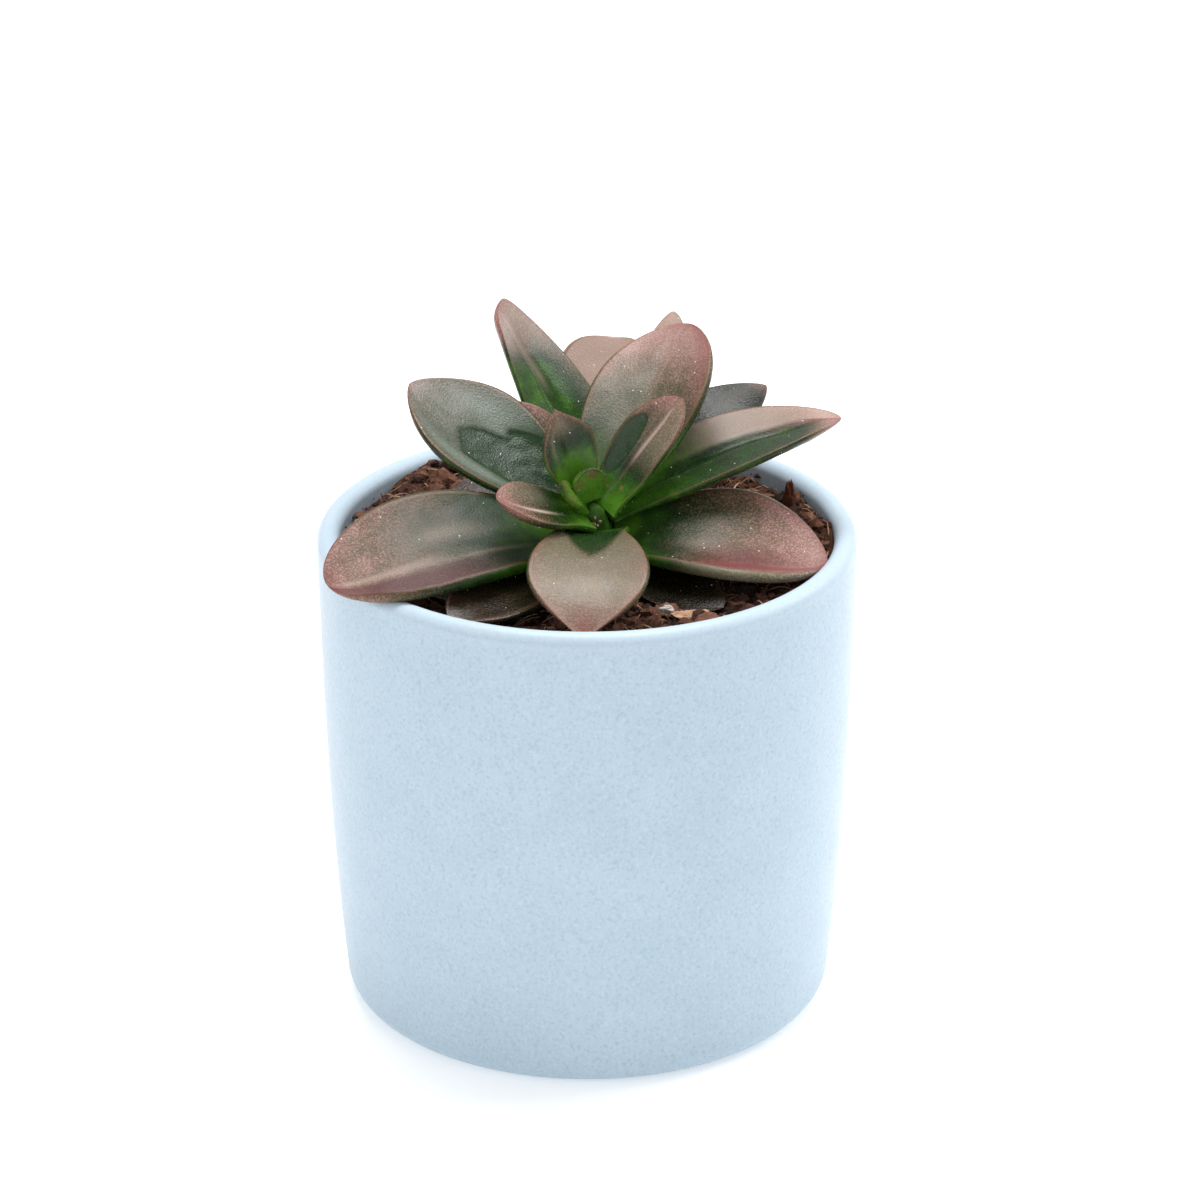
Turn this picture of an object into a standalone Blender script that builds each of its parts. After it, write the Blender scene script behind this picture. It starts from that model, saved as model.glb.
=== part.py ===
"""A small leafy succulent rosette in a round glazed ceramic pot.

Standalone: blender --background --python part.py
Metres, +Z up. The origin is the centre of the pot's flat underside, and the plant leans towards -Y.
"""

import math
from collections import namedtuple

import bmesh
import bpy
from mathutils import Matrix, Vector, noise

MM = 0.001

# ---- driving dimensions ----------------------------------------------------------------------
GAP = 0.3 * MM  # left between pieces that touch

POT_RADIUS = 35.0 * MM  # outside, at the rim
POT_HEIGHT = 65.0 * MM
POT_WALL = 3.0 * MM
POT_FLOOR = 4.0 * MM
POT_DRAFT = 1.3 * MM  # how far the wall leans in over its whole height
POT_TUCK = 2.0 * MM  # how much further it curves in, nearly all of it near the foot
FOOT_ROUND = 1.8 * MM  # height and depth of the rounding at the foot
INNER_FOOT_ROUND = 5.0 * MM
POT_SEGMENTS = 64
WALL_RINGS = 8
ROUND_STEPS = 4  # steps in each quarter turn of a rounding

# The plant and the soil are set out for an opening of 32 mm radius, and grow and shrink with it.
UNIT = (POT_RADIUS - POT_WALL) / 32.0

SOIL_DEPTH = 5.0 * UNIT  # from the rim down to the soil round the stem
SOIL_LEVEL = POT_HEIGHT - SOIL_DEPTH
SOIL_RISE = 2.2 * UNIT  # how much higher it lies along the wall
SOIL_LUMP = 0.45 * UNIT  # how far its lumps rise and dip
SOIL_LUMP_SIZE = 6.0 * UNIT
SOIL_SEGMENTS = 40
SOIL_RINGS = 8

STEM_LEAN = 25.0  # degrees from upright, towards -Y
CROWN_HEIGHT = 12.0 * UNIT  # the growing tip, above the soil
CROWN_ASIDE = 0.9 * UNIT  # the growing tip, to the right of the pot's axis
CROWN_FORWARD = 8.0 * UNIT  # the growing tip, in front of the pot's axis
STEM_TIP_RADIUS = 0.8 * UNIT
STEM_TIP_DROP = 2.0 * UNIT  # its end, below the tip of the youngest leaves
STEM_RADIUS = 2.6 * UNIT
STEM_TAPER = 6.0 * UNIT  # length over which the tip widens to the full radius
STEM_LENGTH = 18.0 * UNIT  # down into the soil
STEM_SIDES = 12

LEAF_CUP = 0.26  # how far the margins rise, of half the width
LEAF_BASE = 0.30  # width where it joins the stem, of the full width
LEAF_WIDEST = 0.60  # place of the full width, of the length
LEAF_RINGS = 11
ACROSS = (-1.0, -0.82, -0.42, 0.0, 0.42, 0.82, 1.0)  # places across it, of half its width
SPINE_STEPS = 24
MARGIN = 0.16  # thickness of the margin, of the leaf's thickness

# azimuth: degrees about the stem, seen from its tip, 0 to +X and 90 to the back
# sweep: degrees its azimuth gains from base to tip, bending it sideways
# lift: degrees above the plane square to the stem, at the leaf's base
# curl: degrees gained from base to tip; below 0 the leaf arches outwards
# twist: degrees turned about its own length by the tip
# plump: thickness, of its width
# point: how pointed the tip is, from 0.5 for round
# reach: its length and the distance from the stem's axis to its base
# root: how far below the growing tip it joins the stem
# Reaches, widths and roots are in units.
Leaf = namedtuple("Leaf", "name azimuth sweep lift curl twist reach width plump point root")
LEAVES = (
    Leaf("leaf_left_low", 204, 0, 13, 0, 0, 25.4, 11, 0.14, 0.60, 10.5),
    Leaf("leaf_right_low", 321, 0, 14, 0, 0, 21.7, 8.2, 0.12, 0.60, 10.1),
    Leaf("leaf_front_low_left", 228, 0, 18, 0, 0, 28.4, 12, 0.16, 0.75, 8.5),
    Leaf("leaf_back_low_left", 140, 0, -8, 0, 0, 23.9, 12, 0.16, 0.60, 10.6),
    Leaf("leaf_back_low", 85, 0, 3, 21, 0, 34.4, 11.5, 0.16, 0.55, 11.8),
    Leaf("leaf_back_right", 72, 0, 8, 12, 0, 34.9, 9.5, 0.16, 0.60, 6.3),
    Leaf("leaf_back_left", 90, 60, 1, 58, 32, 36.9, 10.5, 0.16, 0.50, 9.7),
    Leaf("leaf_right_far", 42, -40, 8, 2, -26, 35.9, 13, 0.17, 0.65, 4.4),
    Leaf("leaf_right_upper", 47, 0, 9, 1, 0, 33.4, 12, 0.16, 0.55, 8.6),
    Leaf("leaf_left_behind", 127, 0, 16, 0, 0, 21.4, 8.0, 0.13, 0.60, 6.75),
    Leaf("leaf_left", 202, 0, 33, -46, 0, 37.9, 17, 0.18, 0.50, 6),
    Leaf("leaf_right", 354, 0, 21.6, -45, -12, 30.8, 17, 0.17, 0.55, 7.2),
    Leaf("leaf_back", 67, 0, 25, -22, -22, 31.0, 16.8, 0.17, 0.55, 2.98),
    Leaf("leaf_left_upper", 145, 0, 21, -8, 8, 30.3, 15, 0.18, 0.70, 4.05),
    Leaf("leaf_front", 267, 0, 46, -64, 0, 27.4, 15.5, 0.18, 0.75, 4),
    Leaf("leaf_inner_right", 41, 0, 46, -16, 0, 18.7, 9, 0.20, 0.60, 2),
    Leaf("leaf_inner_left", 205, 0, 36, 0, 0, 16.3, 8, 0.22, 0.65, 2.2),
    Leaf("leaf_inner_back", 127, 0, 62, 0, 0, 15.9, 7.8, 0.20, 0.90, 2.5),
    Leaf("leaf_bud_back", 118, 0, 82, 0, 0, 6.2, 4.2, 0.35, 0.55, 0.9),
    Leaf("leaf_bud_left", 197, 0, 60, 0, 0, 7.4, 2.6, 0.50, 0.60, 1),
)

# A chip of bark or grit on the soil: place about the pot's axis and size in units, turns in degrees.
Chip = namedtuple("Chip", "name finish x y long wide tall turn tip seed")
CHIPS = (
    Chip("chip_flake", "pale bark", 13.5, -20.0, 6.0, 3.0, 0.9, 8, 4, 1),
    Chip("chip_spike", "bark", 26.5, 11.0, 2.6, 2.2, 5.5, 20, 0, 2),
    Chip("chip_left", "bark", -20.5, 20.0, 7.0, 5.0, 2.4, 30, 0, 3),
    Chip("chip_right", "bark", 28.5, 2.0, 4.5, 3.0, 1.8, 80, 0, 4),
    Chip("chip_back", "bark", 4.0, 27.0, 6.0, 4.0, 2.0, -20, 0, 5),
    Chip("grit", "grit", 10.0, -18.5, 1.8, 1.5, 1.4, 0, 0, 6),
)


# ---- helpers ---------------------------------------------------------------------------------
def material(name, colour, roughness):
    """A Principled material."""
    made = bpy.data.materials.new(name)
    made.use_nodes = True
    shader = made.node_tree.nodes["Principled BSDF"]
    shader.inputs["Base Color"].default_value = (*colour, 1.0)
    shader.inputs["Roughness"].default_value = roughness
    shader.inputs["Metallic"].default_value = 0.0
    return made


def add_object(name, bm, finish):
    """Turns a bmesh into a named object, smooth except at its sharp corners."""
    bmesh.ops.recalc_face_normals(bm, faces=bm.faces)
    mesh = bpy.data.meshes.new(name)
    bm.to_mesh(mesh)
    bm.free()
    mesh.shade_smooth()
    mesh.set_sharp_from_angle(angle=math.radians(50))
    mesh.materials.append(finish)
    made = bpy.data.objects.new(name, mesh)
    bpy.context.scene.collection.objects.link(made)
    return made


def skin(bm, rings, tip=None):
    """Joins rings of points with quads, closes the first ring, and the last at the point tip or with a face."""
    rows = [[bm.verts.new(p) for p in ring] for ring in rings]
    for low, high in zip(rows, rows[1:]):
        for i in range(len(low)):
            j = (i + 1) % len(low)
            bm.faces.new((low[i], low[j], high[j], high[i]))
    bm.faces.new(rows[0][::-1])
    if tip is None:
        bm.faces.new(rows[-1])
        return
    apex = bm.verts.new(tip)
    for i, corner in enumerate(rows[-1]):
        bm.faces.new((corner, rows[-1][(i + 1) % len(rows[-1])], apex))


def circle(radius, height, segments):
    angles = [math.tau * i / segments for i in range(segments)]
    return [(radius * math.cos(a), radius * math.sin(a), height) for a in angles]


# ---- pot -------------------------------------------------------------------------------------
def pot_outside(z):
    """The pot's outer radius at a height."""
    down = 1 - z / POT_HEIGHT
    return POT_RADIUS - POT_DRAFT * down - POT_TUCK * down**3


def pot_inside(z):
    """The pot's inner radius at a height, with the rounding where the wall meets the floor."""
    radius = pot_outside(z) - POT_WALL
    rise = z - POT_FLOOR
    if rise >= INNER_FOOT_ROUND:
        return radius
    left = 1 - rise / INNER_FOOT_ROUND
    return radius - INNER_FOOT_ROUND * (1 - math.sqrt(max(0.0, 1 - left * left)))


def make_pot(finish):
    lip = POT_WALL / 2
    quarter = [math.pi / 2 * i / ROUND_STEPS for i in range(ROUND_STEPS + 1)]
    foot = [
        (
            pot_outside(FOOT_ROUND) - FOOT_ROUND * (1 - math.sin(a)),
            FOOT_ROUND * (1 - math.cos(a)),
        )
        for a in quarter
    ]
    lip_height = POT_HEIGHT - lip
    heights = [
        FOOT_ROUND + (lip_height - FOOT_ROUND) * i / WALL_RINGS for i in range(1, WALL_RINGS)
    ]
    outside = [(pot_outside(z), z) for z in heights]
    lip_centre = pot_outside(lip_height) - lip
    over = [math.pi * i / (2 * ROUND_STEPS) for i in range(2 * ROUND_STEPS + 1)]
    rim = [(lip_centre + lip * math.cos(a), lip_height + lip * math.sin(a)) for a in over]
    low = [POT_FLOOR + INNER_FOOT_ROUND * (1 - math.cos(a)) for a in quarter]
    inside = [(pot_inside(z), z) for z in reversed(heights) if z > low[-1]]
    inside += [(pot_inside(z), z) for z in reversed(low)]
    bm = bmesh.new()
    skin(bm, [circle(r, z, POT_SEGMENTS) for r, z in [*foot, *outside, *rim, *inside]])
    return add_object("pot", bm, finish)


# ---- plant -----------------------------------------------------------------------------------
LEAN = Matrix.Rotation(math.radians(STEM_LEAN), 3, "X")
STEM_AXIS = LEAN @ Vector((0, 0, 1))
CROWN = Vector((CROWN_ASIDE, -CROWN_FORWARD, SOIL_LEVEL + CROWN_HEIGHT))


def stem_radius(drop):
    """The stem's radius at a distance below its tip."""
    share = min(1.0, drop / STEM_TAPER)
    return STEM_TIP_RADIUS + (STEM_RADIUS - STEM_TIP_RADIUS) * share


def outline(t, point):
    """A leaf's width along its length, of its full width."""
    swell = math.sin(math.pi * t ** (math.log(0.5) / math.log(LEAF_WIDEST))) ** point
    return math.hypot(swell, LEAF_BASE * (1 - t) ** 1.5)


def direction(leaf, t):
    """The unit vectors along a leaf, across it and out of its upper face, at t of its length."""
    turn = math.radians(leaf.azimuth + leaf.sweep * t)
    rise = math.radians(leaf.lift + leaf.curl * t)
    radial = LEAN @ Vector((math.cos(turn), math.sin(turn), 0))
    along = radial * math.cos(rise) + STEM_AXIS * math.sin(rise)
    roll = Matrix.Rotation(math.radians(leaf.twist * t), 3, along)
    across = roll @ STEM_AXIS.cross(radial)
    return along, across, along.cross(across)


def spine(leaf, t):
    """The point on a leaf's midline at t of its length."""
    drop = leaf.root * UNIT
    start = stem_radius(drop) + GAP
    step = (leaf.reach * UNIT - start) * t / SPINE_STEPS
    turn = math.radians(leaf.azimuth)
    radial = LEAN @ Vector((math.cos(turn), math.sin(turn), 0))
    place = CROWN - drop * STEM_AXIS + start * radial
    for i in range(SPINE_STEPS):
        place += direction(leaf, t * (i + 0.5) / SPINE_STEPS)[0] * step
    return place


def leaf_ring(leaf, t):
    """The points round a leaf at t of its length: over the upper face, then back under it."""
    centre = spine(leaf, t)
    _, across, normal = direction(leaf, t)
    wide = outline(t, leaf.point)
    half = leaf.width * UNIT / 2 * wide
    thick = leaf.width * UNIT * leaf.plump * (1 - 0.45 * t**3) * min(1.0, wide * 1.4)
    cup = LEAF_CUP * half * (1 - 0.5 * t)
    edge = MARGIN * thick
    ring = []
    for s in ACROSS:
        lift = edge if abs(s) < 1 else 0.0
        ring.append(centre + across * half * s + normal * (cup * s * s + lift))
    for s in reversed(ACROSS[1:-1]):
        bulge = edge + (thick - edge) * (1 - s * s) ** 0.75
        ring.append(centre + across * half * s + normal * (cup * s * s - bulge))
    return ring


def make_leaf(leaf, finish):
    steps = [(1 - math.cos(math.pi * i / LEAF_RINGS)) / 2 for i in range(LEAF_RINGS)]
    bm = bmesh.new()
    skin(bm, [leaf_ring(leaf, t) for t in steps], tip=spine(leaf, 1.0))
    return add_object(leaf.name, bm, finish)


def on_stem(drop, radius, sides):
    """A circle of points round the stem's axis, at a distance below its tip."""
    centre = CROWN - drop * STEM_AXIS
    angles = [math.tau * i / sides for i in range(sides)]
    return [centre + LEAN @ Vector((math.cos(a), math.sin(a), 0)) * radius for a in angles]


def make_stem(finish):
    drops = [STEM_TIP_DROP, STEM_TAPER / 3, STEM_TAPER * 2 / 3, STEM_TAPER, STEM_LENGTH - GAP]
    bm = bmesh.new()
    skin(bm, [on_stem(d, stem_radius(d), STEM_SIDES) for d in reversed(drops)])
    return add_object("stem", bm, finish)


# ---- soil ------------------------------------------------------------------------------------
def soil_top(x, y):
    """The height of the soil at a place."""
    share = min(1.0, math.hypot(x, y) / POT_RADIUS)
    lump = noise.noise(Vector((x, y, 0)) / SOIL_LUMP_SIZE)
    return SOIL_LEVEL + SOIL_RISE * share**4 + SOIL_LUMP * lump * 1.6


def make_soil(finish):
    """A plug that fills the pot, with a lumpy top and a socket for the stem."""
    hole = STEM_RADIUS + GAP
    mouth = on_stem(CROWN_HEIGHT / STEM_AXIS.z, hole, SOIL_SEGMENTS)
    mouth = [p + STEM_AXIS * (soil_top(p.x, p.y) - p.z) / STEM_AXIS.z for p in mouth]
    rings = [on_stem(STEM_LENGTH, hole, SOIL_SEGMENTS)]
    wall = pot_inside(SOIL_LEVEL) - GAP
    for i in range(SOIL_RINGS + 1):
        share = (i / SOIL_RINGS) ** 0.8
        ring = []
        for k, inner in enumerate(mouth):
            turn = math.tau * k / SOIL_SEGMENTS
            outer = Vector((wall * math.cos(turn), wall * math.sin(turn)))
            x, y = inner.xy.lerp(outer, share)
            ring.append((x, y, soil_top(x, y)))
        rings.append(ring)
    low = POT_FLOOR + GAP
    for i in range(1, 6):
        z = SOIL_LEVEL + (low + INNER_FOOT_ROUND - SOIL_LEVEL) * (0.03 + 0.97 * i / 5)
        rings.append(circle(pot_inside(z) - GAP, z, SOIL_SEGMENTS))
    for i in range(1, ROUND_STEPS):
        z = low + INNER_FOOT_ROUND * (1 - math.sin(math.pi / 2 * i / ROUND_STEPS))
        rings.append(circle(pot_inside(z) - 2 * GAP, z, SOIL_SEGMENTS))
    rings.append(circle(pot_inside(low) - 3 * GAP, low, SOIL_SEGMENTS))
    bm = bmesh.new()
    skin(bm, rings)
    return add_object("soil", bm, finish)


def make_chip(chip, finish):
    """A rough lump, resting just above the soil."""
    bm = bmesh.new()
    bmesh.ops.create_icosphere(bm, subdivisions=1, radius=0.5)
    turn = Matrix.Rotation(math.radians(chip.turn), 3, "Z")
    turn = turn @ Matrix.Rotation(math.radians(chip.tip), 3, "Y")
    for v in bm.verts:
        v.co *= 1 + 0.45 * noise.noise(v.co * 2.3 + Vector((chip.seed * 5.1, 0, 0)))
        v.co = turn @ Vector((v.co.x * chip.long, v.co.y * chip.wide, v.co.z * chip.tall)) * UNIT
    place = Vector((chip.x, chip.y, 0)) * UNIT
    rest = max(soil_top(*(place + v.co).xy) - v.co.z for v in bm.verts)
    for v in bm.verts:
        v.co += place + Vector((0, 0, rest + GAP))
    return add_object(chip.name, bm, finish)


def main():
    for old in list(bpy.data.objects):
        bpy.data.objects.remove(old)
    make_pot(material("glaze", (0.58, 0.73, 0.83), 0.3))
    make_soil(material("peat", (0.045, 0.022, 0.014), 0.95))
    make_stem(material("stem_skin", (0.30, 0.34, 0.12), 0.5))
    skin_colour = material("leaf_skin", (0.17, 0.16, 0.10), 0.4)
    for leaf in LEAVES:
        make_leaf(leaf, skin_colour)
    finishes = {
        "bark": material("bark", (0.13, 0.05, 0.025), 0.9),
        "pale bark": material("pale_bark", (0.45, 0.30, 0.19), 0.85),
        "grit": material("grit", (0.55, 0.50, 0.45), 0.85),
    }
    for chip in CHIPS:
        make_chip(chip, finishes[chip.finish])


main()
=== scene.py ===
"""The looks of a small rosette succulent in a pale blue glazed pot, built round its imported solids.

Metres, +Z up, in the frame of the solids: the origin is the centre of the pot's underside, and the plant
leans to -Y. Each solid has a piece in its place here that shows what the solid leaves out.
"""

import math
import random
from collections import namedtuple

import bmesh
import bpy
import numpy as np
from mathutils import Matrix, Vector, noise
from mathutils.bvhtree import BVHTree


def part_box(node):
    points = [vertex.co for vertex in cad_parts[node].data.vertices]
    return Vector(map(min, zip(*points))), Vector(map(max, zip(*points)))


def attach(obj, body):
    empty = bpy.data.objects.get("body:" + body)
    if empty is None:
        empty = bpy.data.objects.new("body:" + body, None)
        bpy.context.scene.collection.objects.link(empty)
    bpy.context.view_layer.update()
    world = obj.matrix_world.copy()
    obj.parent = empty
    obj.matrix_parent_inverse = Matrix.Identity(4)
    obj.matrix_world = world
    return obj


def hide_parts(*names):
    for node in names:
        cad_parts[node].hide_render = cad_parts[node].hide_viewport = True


MM = 0.001

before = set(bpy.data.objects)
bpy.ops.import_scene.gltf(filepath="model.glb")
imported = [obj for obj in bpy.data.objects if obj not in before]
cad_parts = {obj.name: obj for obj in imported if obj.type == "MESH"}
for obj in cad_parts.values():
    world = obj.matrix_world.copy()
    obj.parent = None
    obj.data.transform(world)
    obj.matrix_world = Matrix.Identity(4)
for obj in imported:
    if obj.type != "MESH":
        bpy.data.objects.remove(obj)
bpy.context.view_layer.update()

# ---- sizes, from the solids ------------------------------------------------------------------
POT_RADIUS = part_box("pot")[1][0]
POT_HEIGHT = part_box("pot")[1][2]
POT_WALL = 3.0 * MM
POT_DRAFT = 1.3 * MM  # how far the wall leans in over its whole height
POT_TUCK = 2.0 * MM  # how much further it curves in near the foot
FOOT_ROUND = 3.4 * MM
POT_SEGMENTS = 256
UNIT = (POT_RADIUS - POT_WALL) / 32.0  # the plant is set out for an opening of 32 mm radius

SOIL_LEVEL = POT_HEIGHT - 5.0 * UNIT
WALL_UNDER_SOIL = 6.0 * MM  # how far the pot's inner wall goes on under that level
BED_DEPTH = 5.0 * MM  # and how far the soil bed does
CRUMB_COUNT = 3600
FIBRE_COUNT = 760
STEM_LEAN = math.radians(25.0)
STEM_AXIS = np.array((0.0, -math.sin(STEM_LEAN), math.cos(STEM_LEAN)))
LEAN = np.array(Matrix.Rotation(STEM_LEAN, 3, "X"))
CROWN = np.array((0.9 * UNIT, -8.0 * UNIT, SOIL_LEVEL + 12.0 * UNIT))
STEM_TIP_RADIUS = 0.8 * UNIT
STEM_RADIUS = 2.6 * UNIT
STEM_TAPER = 6.0 * UNIT
STEM_TOP = 0.9  # where its skin starts under the crown's point, in units

# ---- leaves ----------------------------------------------------------------------------------
# Each leaf is set out as its solid is, with lengths in units and angles in degrees. It grows from the stem,
# root below the crown's point. sweep, curl and twist are its turn, rise and roll from base to tip.
# plump is its thickness, of its width, and a smaller point makes a blunter outline.
Leaf = namedtuple("Leaf", "name azimuth sweep lift curl twist reach width plump point root")
LEAVES = (
    Leaf("leaf_left_low", 204, 0, 13, 0, 0, 25.4, 11, 0.14, 0.60, 10.5),
    Leaf("leaf_right_low", 321, 0, 14, 0, 0, 21.7, 8.2, 0.12, 0.60, 10.1),
    Leaf("leaf_front_low_left", 228, 0, 18, 0, 0, 28.4, 12, 0.16, 0.75, 8.5),
    Leaf("leaf_back_low_left", 140, 0, -8, 0, 0, 23.9, 12, 0.16, 0.60, 10.6),
    Leaf("leaf_back_low", 85, 0, 3, 21, 0, 34.4, 11.5, 0.16, 0.55, 11.8),
    Leaf("leaf_back_right", 72, 0, 8, 12, 0, 34.9, 9.5, 0.16, 0.60, 6.3),
    Leaf("leaf_back_left", 90, 60, 1, 58, 32, 36.9, 10.5, 0.16, 0.40, 9.7),
    Leaf("leaf_right_far", 42, -40, 8, 2, -26, 35.9, 13, 0.17, 0.55, 4.4),
    Leaf("leaf_right_upper", 47, 0, 9, 1, 0, 33.4, 12, 0.16, 0.55, 8.6),
    Leaf("leaf_left_behind", 127, 0, 16, 0, 0, 21.4, 8.0, 0.13, 0.60, 6.75),
    Leaf("leaf_left", 202, 0, 33, -46, 0, 37.9, 17, 0.18, 0.50, 6),
    Leaf("leaf_right", 354, 0, 21.6, -45, -12, 30.8, 17, 0.17, 0.55, 7.2),
    Leaf("leaf_back", 67, 0, 25, -22, -22, 31.0, 16.8, 0.17, 0.55, 2.98),
    Leaf("leaf_left_upper", 145, 0, 21, -8, 8, 30.3, 15, 0.18, 0.70, 4.05),
    Leaf("leaf_front", 267, 0, 46, -64, 0, 27.4, 15.5, 0.18, 0.75, 4),
    Leaf("leaf_inner_right", 41, 0, 46, -16, 0, 18.7, 9, 0.20, 0.60, 2),
    Leaf("leaf_inner_left", 205, 0, 36, 0, 0, 16.3, 8, 0.22, 0.65, 2.2),
    Leaf("leaf_inner_back", 127, 0, 62, 0, 0, 15.9, 7.8, 0.20, 0.90, 2.5),
    Leaf("leaf_bud_back", 118, 0, 82, 0, 0, 6.2, 4.2, 0.35, 0.55, 0.9),
    Leaf("leaf_bud_left", 197, 0, 60, 0, 0, 7.4, 2.6, 0.50, 0.60, 1),
)
LEAF_CUP = 0.26
LEAF_WIDEST = 0.60
LEAF_RINGS = 84
TOP_POINTS = 41  # across the upper face
TURN_POINTS = 4  # round the margin, from its crease to the widest place
UNDER_POINTS = 12  # from there to the keel

# What a leaf's skin adds to its solid:
# base: its width where it clasps the stem, of its full width
# crease: depth of the channel along its midline, of its half width
# trim: its width on the right and on the left seen from its base, of the solid's
# taper: how much more pointed than the solid it is, or blunter where it's under 0
# bow: how far its middle and its tip stand off the solid's midline, in units
# green, pink: where along it the green of its base gives way, and where it is all pink
# shade: how much the whole leaf is darkened, as painted shade, most on the low leaves and those under
# others, and as a darker tone of its own; gloss: 0 for a dull skin, 1 for a wet-looking one; cool: how
# blue its bloom and painted sheen are
# shoulder: place of the margin's crease, of the half width
# side: how far the widest place lies under that crease, of the thickness
Look = namedtuple(
    "Look",
    "base crease trim taper bow green pink shade gloss cool shoulder side",
    defaults=(0.30, 0.0, (1.0, 1.0), 0.0, (0.0, 0.0), 0.35, 1.1, 0.0, 0.4, 0.0, 0.94, 0.24),
)
LOOKS = {
    "leaf_left_low": Look(green=0.0, pink=1.8, shade=0.82, gloss=0.8),
    "leaf_right_low": Look(green=0.0, pink=2.4, shade=0.92, gloss=0.8, cool=1.0),
    "leaf_front_low_left": Look(bow=(1.2, 0.3), green=0.2, pink=1.6, shade=0.78, gloss=0.9),
    "leaf_back_low_left": Look(shade=0.9, gloss=0.8),
    "leaf_back_low": Look(trim=(0.9, 1.5), taper=-0.6, green=0.1, pink=0.9, gloss=0.9),
    "leaf_back_right": Look(trim=(1.0, 0.6), green=0.2, pink=0.8, gloss=0.9),
    "leaf_back_left": Look(0.30, 0.10, (1.3, 1.0), -0.6, green=0.5, pink=1.0, gloss=0.8, cool=1.0),
    "leaf_right_far": Look(crease=0.10, green=0.62, pink=1.1, gloss=0.8, cool=0.5),
    "leaf_right_upper": Look(
        trim=(0.72, 0.95), taper=0.3, bow=(2.4, -0.6), green=0.45, pink=1.3, gloss=0.8
    ),
    "leaf_left_behind": Look(
        trim=(1.2, 1.0), bow=(2.0, 3.2), green=0.45, pink=1.1, shade=0.15, gloss=0.6
    ),
    "leaf_left": Look(
        0.42, green=0.42, pink=1.16, shade=0.10, gloss=0.15, shoulder=0.90, side=0.45
    ),
    "leaf_right": Look(
        0.42, green=0.30, pink=0.98, shade=0.08, gloss=0.15, shoulder=0.88, side=0.45
    ),
    "leaf_back": Look(0.36, 0.04, (1.0, 0.90), green=0.40, pink=1.0, gloss=0.5, cool=0.4),
    "leaf_left_upper": Look(0.40, 0.015, green=0.55, pink=1.3, shade=0.10, gloss=1.0, cool=1.0),
    "leaf_front": Look(0.60, 0.0, (0.98, 1.0), 0.6, green=0.20, pink=1.2, gloss=0.8),
    "leaf_inner_right": Look(0.62, 0.10, (0.80, 0.94), green=0.42, pink=1.1, gloss=0.7),
    "leaf_inner_left": Look(0.80, 0.0, green=0.45, pink=1.05, gloss=0.7),
    "leaf_inner_back": Look(0.80, 0.06, taper=0.4, green=0.72, pink=1.1, gloss=0.75),
    "leaf_bud_back": Look(0.8, trim=(1.1, 1.1), green=1.0, pink=1.4, gloss=0.6),
    "leaf_bud_left": Look(0.8, trim=(1.5, 1.5), green=1.1, pink=1.5, gloss=0.6),
}


# ---- nodes -----------------------------------------------------------------------------------
def new_material(name):
    """A material with its Principled shader, for node building."""
    made = bpy.data.materials.new(name)
    made.use_nodes = True
    return made, made.node_tree, made.node_tree.nodes["Principled BSDF"]


def put(tree, kind, inputs=None, **settings):
    """A node with its settings, and its inputs set to values or linked from sockets."""
    made = tree.nodes.new(kind)
    for key, value in settings.items():
        setattr(made, key, value)
    for key, value in (inputs or {}).items():
        feed(tree, made.inputs[key], value)
    return made


def feed(tree, socket, value):
    """Sets a socket to a value, or links it from another socket."""
    if isinstance(value, bpy.types.NodeSocket):
        tree.links.new(value, socket)
    else:
        socket.default_value = value


def attribute(tree, name):
    """A float attribute of the mesh."""
    return put(tree, "ShaderNodeAttribute", attribute_name=name).outputs["Fac"]


def place(tree):
    """Positions on the piece, in metres."""
    return put(tree, "ShaderNodeTexCoord").outputs["Object"]


def math_node(tree, operation, a, b=0.0, c=0.0, clamp=False):
    made = put(tree, "ShaderNodeMath", {0: a, 1: b, 2: c}, operation=operation, use_clamp=clamp)
    return made.outputs[0]


def ranged(tree, value, low, high, to_low=0.0, to_high=1.0):
    """value taken from low..high to to_low..to_high, with soft ends."""
    made = put(
        tree,
        "ShaderNodeMapRange",
        {"Value": value, "From Min": low, "From Max": high, "To Min": to_low, "To Max": to_high},
        interpolation_type="SMOOTHSTEP",
    )
    return made.outputs["Result"]


def noise_node(tree, size, detail=2.0, roughness=0.5):
    """Noise whose features are about size metres across."""
    made = put(
        tree,
        "ShaderNodeTexNoise",
        {
            "Vector": place(tree),
            "Scale": 1.0 / size,
            "Detail": detail,
            "Roughness": roughness,
        },
    )
    return made.outputs["Fac"]


def mix(tree, share, a, b, blend="MIX"):
    """Colour a taken to colour b by share. Either may be a colour or a socket."""
    made = put(tree, "ShaderNodeMix", data_type="RGBA", blend_type=blend)
    feed(tree, made.inputs["Factor"], share)
    feed(tree, made.inputs[6], a if isinstance(a, bpy.types.NodeSocket) else (*a, 1.0))
    feed(tree, made.inputs[7], b if isinstance(b, bpy.types.NodeSocket) else (*b, 1.0))
    return made.outputs[2]


def ramp(tree, share, stops):
    """Colours along share. The first two stops given are the ramp's two ends."""
    made = put(tree, "ShaderNodeValToRGB", {"Fac": share})
    elements = made.color_ramp.elements
    for i, (where, colour) in enumerate(stops):
        stop = elements[i] if i < 2 else elements.new(where)
        stop.position = where
        stop.color = (*colour, 1.0)
    return made.outputs["Color"]


def bump(tree, height, distance, strength=1.0, normal=None):
    """A normal roughened by height, on top of another where one is given."""
    inputs = {"Height": height, "Distance": distance, "Strength": strength}
    if normal is not None:
        inputs["Normal"] = normal
    return put(tree, "ShaderNodeBump", inputs).outputs["Normal"]


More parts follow.
